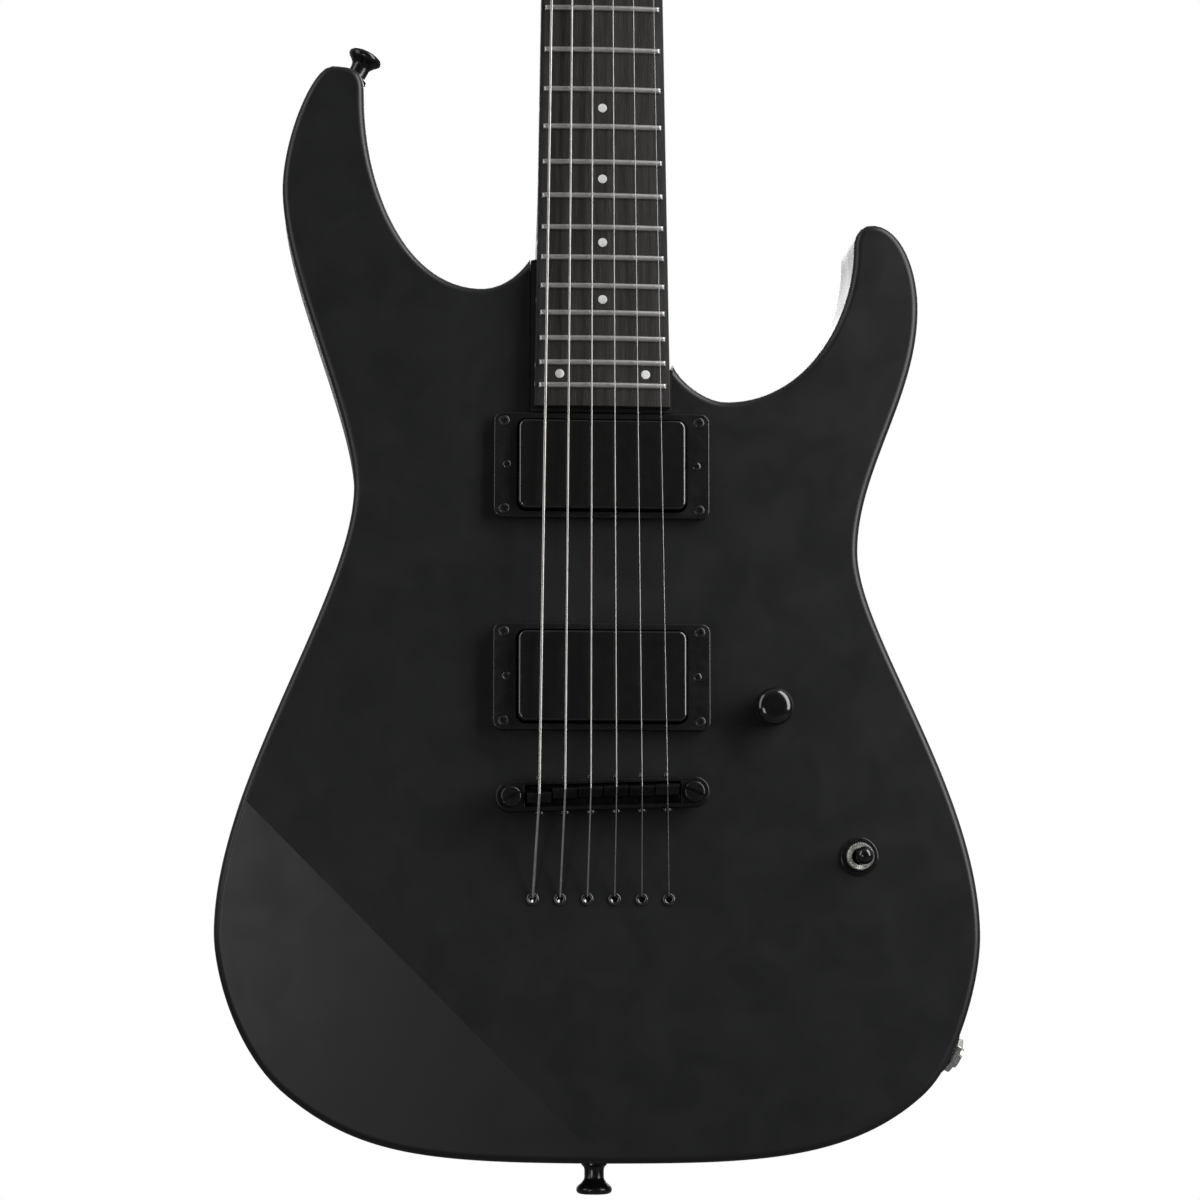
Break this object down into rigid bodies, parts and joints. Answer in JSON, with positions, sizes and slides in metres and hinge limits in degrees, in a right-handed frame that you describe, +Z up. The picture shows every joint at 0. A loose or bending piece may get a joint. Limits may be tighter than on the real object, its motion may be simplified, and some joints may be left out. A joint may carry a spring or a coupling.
{
  "type": "electric guitar",
  "caption": "Solid-body electric guitar in satin black with a double cutaway, set neck, fixed bridge, anchored strings, two active pickups, volume knob, selector toggle and in-line tuners.",
  "frame": {"origin": "on the flat back of the body, on the strings' centreline, at the saddle line that the fret scale is measured from", "axes": "+Z up along the neck towards the headstock, -Y out of the front of the body, +X towards the treble side as seen from the front"},
  "size_m": [0.3135, 0.0967, 1.0014],
  "materials": {
    "body_lacquer": "satin black lacquer",
    "neck_lacquer": "satin black lacquer",
    "fretboard_wood": "dark open-grained wood, oiled",
    "nut_plastic": "black moulded",
    "string_steel": "bright steel",
    "black_hardware": "black plated, semi-gloss",
    "nickel_hardware": "bright nickel",
    "steel_pot": "plated steel",
    "black_knob_plastic": "gloss black",
    "pickup_cover_plastic": "satin black",
    "pickup_ring_plastic": "satin black",
    "battery_case": "plain printed metal, no text",
    "black_cover_plastic": "fine textured black"
  },
  "bodies": {
    "guitar": {"battery": "battery_case", "battery_box": "black_cover_plastic", "body": "body_lacquer", "bridge_bar": "black_hardware", "bridge_pickup_ring": "pickup_ring_plastic", "bridge_stud_bass": "black_hardware", "bridge_stud_treble": "black_hardware", "control_cover": "black_cover_plastic", "fretboard": "fretboard_wood", "neck": "neck_lacquer", "neck_pickup_ring": "pickup_ring_plastic", "nut": "nut_plastic", "output_jack": "nickel_hardware", "strap_button_lower": "black_hardware", "strap_button_upper": "black_hardware", "string_1": "string_steel", "string_2": "string_steel", "string_3": "string_steel", "string_4": "string_steel", "string_5": "string_steel", "string_6": "string_steel", "toggle_switch_frame": "nickel_hardware", "truss_rod_cover": "black_cover_plastic", "tuner_housing_1": "black_hardware", "tuner_housing_2": "black_hardware", "tuner_housing_3": "black_hardware", "tuner_housing_4": "black_hardware", "tuner_housing_5": "black_hardware", "tuner_housing_6": "black_hardware", "volume_pot": "steel_pot"},
    "saddle_screw_1": {"saddle_screw_1": "black_hardware"},
    "saddle_1": {"saddle_1": "black_hardware"},
    "saddle_screw_2": {"saddle_screw_2": "black_hardware"},
    "saddle_2": {"saddle_2": "black_hardware"},
    "saddle_screw_3": {"saddle_screw_3": "black_hardware"},
    "saddle_3": {"saddle_3": "black_hardware"},
    "saddle_screw_4": {"saddle_screw_4": "black_hardware"},
    "saddle_4": {"saddle_4": "black_hardware"},
    "saddle_screw_5": {"saddle_screw_5": "black_hardware"},
    "saddle_5": {"saddle_5": "black_hardware"},
    "saddle_screw_6": {"saddle_screw_6": "black_hardware"},
    "saddle_6": {"saddle_6": "black_hardware"},
    "tuner_button_1": {"tuner_button_1": "black_hardware"},
    "tuner_post_1": {"tuner_post_1": "black_hardware"},
    "tuner_button_2": {"tuner_button_2": "black_hardware"},
    "tuner_post_2": {"tuner_post_2": "black_hardware"},
    "tuner_button_3": {"tuner_button_3": "black_hardware"},
    "tuner_post_3": {"tuner_post_3": "black_hardware"},
    "tuner_button_4": {"tuner_button_4": "black_hardware"},
    "tuner_post_4": {"tuner_post_4": "black_hardware"},
    "tuner_button_5": {"tuner_button_5": "black_hardware"},
    "tuner_post_5": {"tuner_post_5": "black_hardware"},
    "tuner_button_6": {"tuner_button_6": "black_hardware"},
    "tuner_post_6": {"tuner_post_6": "black_hardware"},
    "neck_pickup": {"neck_pickup": "pickup_cover_plastic"},
    "bridge_pickup": {"bridge_pickup": "pickup_cover_plastic"},
    "volume_knob": {"volume_knob": "black_knob_plastic"},
    "toggle_lever": {"toggle_lever": "black_knob_plastic"},
    "battery_door": {"battery_door": "black_cover_plastic"}
  },
  "joints": [
    {"name": "saddle_screw_1_turn", "type": "hinge", "parent": "guitar", "child": "saddle_screw_1", "pos_m": [-0.02599, -0.0507, -0.00784], "axis": [-0.0323, 0, 0.9995], "range_deg": [-1340.1, 723]},
    {"name": "saddle_1_slide", "type": "slide", "parent": "guitar", "child": "saddle_1", "axis": [-0.0323, 0, 0.9995], "range_m": [-0.0014, 0.0026], "deforming": ["string_1"]},
    {"name": "saddle_screw_2_turn", "type": "hinge", "parent": "guitar", "child": "saddle_screw_2", "pos_m": [-0.01559, -0.0507, -0.0075], "axis": [-0.0323, 0, 0.9995], "range_deg": [-568.7, 1494.4]},
    {"name": "saddle_2_slide", "type": "slide", "parent": "guitar", "child": "saddle_2", "axis": [-0.0323, 0, 0.9995], "range_m": [-0.0029, 0.0011], "deforming": ["string_2"]},
    {"name": "saddle_screw_3_turn", "type": "hinge", "parent": "guitar", "child": "saddle_screw_3", "pos_m": [-0.0052, -0.0507, -0.00717], "axis": [-0.0323, 0, 0.9995], "range_deg": [-465.9, 1597.3]},
    {"name": "saddle_3_slide", "type": "slide", "parent": "guitar", "child": "saddle_3", "axis": [-0.0323, 0, 0.9995], "range_m": [-0.0031, 0.0009], "deforming": ["string_3"]},
    {"name": "saddle_screw_4_turn", "type": "hinge", "parent": "guitar", "child": "saddle_screw_4", "pos_m": [0.0052, -0.0507, -0.00683], "axis": [-0.0323, 0, 0.9995], "range_deg": [-414.4, 1648.7]},
    {"name": "saddle_4_slide", "type": "slide", "parent": "guitar", "child": "saddle_4", "axis": [-0.0323, 0, 0.9995], "range_m": [-0.0032, 0.0008], "deforming": ["string_4"]},
    {"name": "saddle_screw_5_turn", "type": "hinge", "parent": "guitar", "child": "saddle_screw_5", "pos_m": [0.01559, -0.0507, -0.0065], "axis": [-0.0323, 0, 0.9995], "range_deg": [-517.3, 1545.9]},
    {"name": "saddle_5_slide", "type": "slide", "parent": "guitar", "child": "saddle_5", "axis": [-0.0323, 0, 0.9995], "range_m": [-0.003, 0.001], "deforming": ["string_5"]},
    {"name": "saddle_screw_6_turn", "type": "hinge", "parent": "guitar", "child": "saddle_screw_6", "pos_m": [0.02599, -0.0507, -0.00616], "axis": [-0.0323, 0, 0.9995], "range_deg": [-414.4, 1648.7]},
    {"name": "saddle_6_slide", "type": "slide", "parent": "guitar", "child": "saddle_6", "axis": [-0.0323, 0, 0.9995], "range_m": [-0.0032, 0.0008], "deforming": ["string_6"]},
    {"name": "tuner_button_1_turn", "type": "hinge", "parent": "guitar", "child": "tuner_button_1", "pos_m": [-0.02747, -0.00416, 0.67124], "axis": [-0.9669, 0.0643, 0.2469], "continuous": true},
    {"name": "tuner_post_1_turn", "type": "hinge", "parent": "guitar", "child": "tuner_post_1", "pos_m": [-0.02105, -0.02213, 0.6808], "axis": [0, -0.9677, 0.2521], "continuous": true},
    {"name": "tuner_button_2_turn", "type": "hinge", "parent": "guitar", "child": "tuner_button_2", "pos_m": [-0.02061, 0.00239, 0.6964], "axis": [-0.9669, 0.0643, 0.2469], "continuous": true},
    {"name": "tuner_post_2_turn", "type": "hinge", "parent": "guitar", "child": "tuner_post_2", "pos_m": [-0.01419, -0.01558, 0.70596], "axis": [0, -0.9677, 0.2521], "continuous": true},
    {"name": "tuner_button_3_turn", "type": "hinge", "parent": "guitar", "child": "tuner_button_3", "pos_m": [-0.01375, 0.00895, 0.72156], "axis": [-0.9669, 0.0643, 0.2469], "continuous": true},
    {"name": "tuner_post_3_turn", "type": "hinge", "parent": "guitar", "child": "tuner_post_3", "pos_m": [-0.00733, -0.00902, 0.73112], "axis": [0, -0.9677, 0.2521], "continuous": true},
    {"name": "tuner_button_4_turn", "type": "hinge", "parent": "guitar", "child": "tuner_button_4", "pos_m": [-0.00689, 0.0155, 0.74672], "axis": [-0.9669, 0.0643, 0.2469], "continuous": true},
    {"name": "tuner_post_4_turn", "type": "hinge", "parent": "guitar", "child": "tuner_post_4", "pos_m": [-0.00047, -0.00247, 0.75628], "axis": [0, -0.9677, 0.2521], "continuous": true},
    {"name": "tuner_button_5_turn", "type": "hinge", "parent": "guitar", "child": "tuner_button_5", "pos_m": [-0.00003, 0.02206, 0.77189], "axis": [-0.9669, 0.0643, 0.2469], "continuous": true},
    {"name": "tuner_post_5_turn", "type": "hinge", "parent": "guitar", "child": "tuner_post_5", "pos_m": [0.00639, 0.00409, 0.78144], "axis": [0, -0.9677, 0.2521], "continuous": true},
    {"name": "tuner_button_6_turn", "type": "hinge", "parent": "guitar", "child": "tuner_button_6", "pos_m": [0.00683, 0.02861, 0.79705], "axis": [-0.9669, 0.0643, 0.2469], "continuous": true},
    {"name": "tuner_post_6_turn", "type": "hinge", "parent": "guitar", "child": "tuner_post_6", "pos_m": [0.01325, 0.01064, 0.8066], "axis": [0, -0.9677, 0.2521], "continuous": true},
    {"name": "volume_knob_turn", "type": "hinge", "parent": "guitar", "child": "volume_knob", "pos_m": [0.0701, -0.042, 0.029], "axis": [0, -1, 0], "range_deg": [-150, 150]},
    {"name": "toggle_lever_tilt", "type": "hinge", "parent": "guitar", "child": "toggle_lever", "pos_m": [0.1062, -0.037, -0.0315], "axis": [1, 0, 0], "range_deg": [-12, 12]},
    {"name": "battery_door_hinge", "type": "hinge", "parent": "guitar", "child": "battery_door", "pos_m": [0.022, -0.0013, -0.09065], "axis": [1, 0, 0], "range_deg": [0, 100]},
    {"name": "neck_pickup_height", "type": "slide", "parent": "guitar", "child": "neck_pickup", "axis": [0, -1, 0], "range_m": [-0.002, 0.0015]},
    {"name": "bridge_pickup_height", "type": "slide", "parent": "guitar", "child": "bridge_pickup", "axis": [0, -1, 0], "range_m": [-0.002, 0.0015]}
  ],
  "couplings": [
    {"joint": "saddle_screw_1_turn", "follows": "saddle_1_slide", "rad_per_m": -8976},
    {"joint": "saddle_screw_2_turn", "follows": "saddle_2_slide", "rad_per_m": -8976},
    {"joint": "saddle_screw_3_turn", "follows": "saddle_3_slide", "rad_per_m": -8976},
    {"joint": "saddle_screw_4_turn", "follows": "saddle_4_slide", "rad_per_m": -8976},
    {"joint": "saddle_screw_5_turn", "follows": "saddle_5_slide", "rad_per_m": -8976},
    {"joint": "saddle_screw_6_turn", "follows": "saddle_6_slide", "rad_per_m": -8976},
    {"joint": "tuner_post_1_turn", "follows": "tuner_button_1_turn", "ratio": 0.0625},
    {"joint": "tuner_post_2_turn", "follows": "tuner_button_2_turn", "ratio": 0.0625},
    {"joint": "tuner_post_3_turn", "follows": "tuner_button_3_turn", "ratio": 0.0625},
    {"joint": "tuner_post_4_turn", "follows": "tuner_button_4_turn", "ratio": 0.0625},
    {"joint": "tuner_post_5_turn", "follows": "tuner_button_5_turn", "ratio": 0.0625},
    {"joint": "tuner_post_6_turn", "follows": "tuner_button_6_turn", "ratio": 0.0625}
  ]
}
